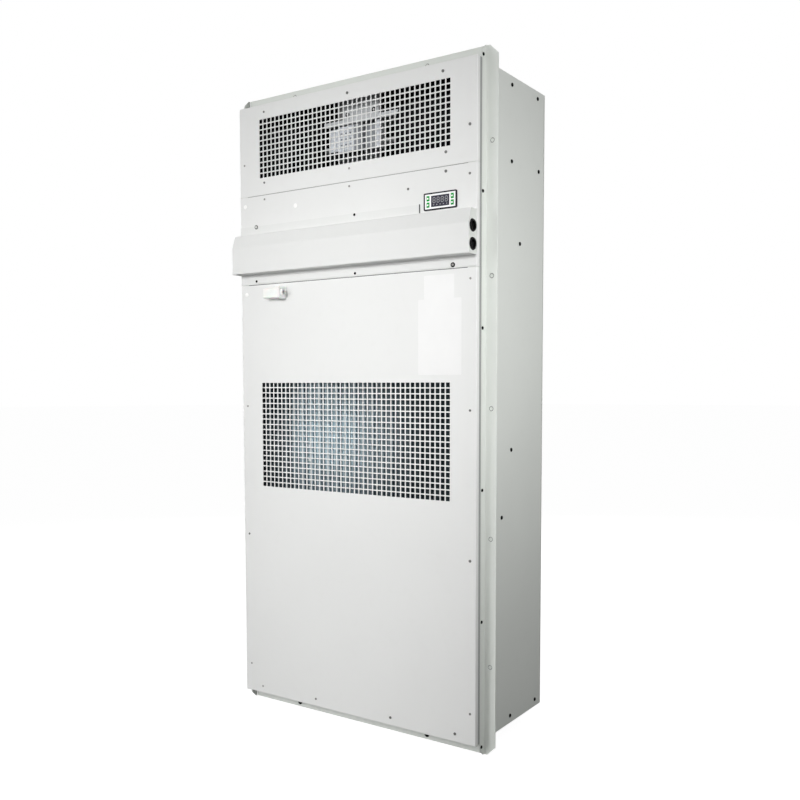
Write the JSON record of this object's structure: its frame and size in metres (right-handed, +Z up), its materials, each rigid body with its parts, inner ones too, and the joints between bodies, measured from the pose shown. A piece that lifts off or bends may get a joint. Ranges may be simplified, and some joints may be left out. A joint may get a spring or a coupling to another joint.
{
  "type": "cabinet air conditioner",
  "caption": "Tall wall-embedded cooling unit: folded sheet casing in a flange frame, three tray lids, punched square-hole grilles, cable duct and small controller.",
  "frame": {"origin": "middle of the back face of the lower mounting flange, which lies against the cabinet", "axes": "+X to the right seen from the indoor side, +Y through the wall to the outdoor side, +Z up"},
  "size_m": [0.674, 0.338, 1.402],
  "materials": {
    "casing_paint": "fine textured powder coat, satin",
    "lid_paint": "fine textured powder coat, satin",
    "black_rubber": "matt",
    "dark_plastic": "satin",
    "white_plastic": "satin",
    "screen": "glossy",
    "green_keys": "satin",
    "blue_fins": "blue coated fins, satin",
    "black_foam": "matt open foam",
    "black_plastic": "satin",
    "galvanised_steel": "galvanised, satin"
  },
  "bodies": {
    "root": {"back_panel": "casing_paint", "blower_left": "black_plastic", "blower_right": "black_plastic", "blower_wheel_left": "black_plastic", "blower_wheel_right": "black_plastic", "bottom_panel": "casing_paint", "cable_duct": "lid_paint", "cable_duct_end_left": "lid_paint", "cable_duct_end_right": "lid_paint", "chamber_lining": "black_foam", "coil_fins": "blue_fins", "coil_plate_left": "galvanised_steel", "coil_plate_right": "galvanised_steel", "controller_face": "white_plastic", "controller_frame": "dark_plastic", "controller_keys": "green_keys", "controller_screen": "screen", "drain_pan": "galvanised_steel", "fan_bracket": "galvanised_steel", "fan_motor": "white_plastic", "fan_shaft_left": "galvanised_steel", "fan_shaft_right": "galvanised_steel", "fitting_body": "white_plastic", "fitting_nut": "white_plastic", "grommet_lower": "black_rubber", "grommet_upper": "black_rubber", "lower_grille_left": "lid_paint", "lower_grille_right": "lid_paint", "lower_lid": "lid_paint", "middle_lid": "lid_paint", "mounting_angle_bottom": "casing_paint", "mounting_angle_left": "casing_paint", "mounting_angle_right": "casing_paint", "mounting_angle_top": "casing_paint", "outdoor_coil": "blue_fins", "outdoor_coil_plate_left": "galvanised_steel", "outdoor_coil_plate_right": "galvanised_steel", "partition": "galvanised_steel", "shelf": "galvanised_steel", "side_panel_left": "casing_paint", "side_panel_right": "casing_paint", "top_panel": "casing_paint", "upper_grille": "lid_paint", "upper_lid": "lid_paint"}
  },
  "joints": []
}
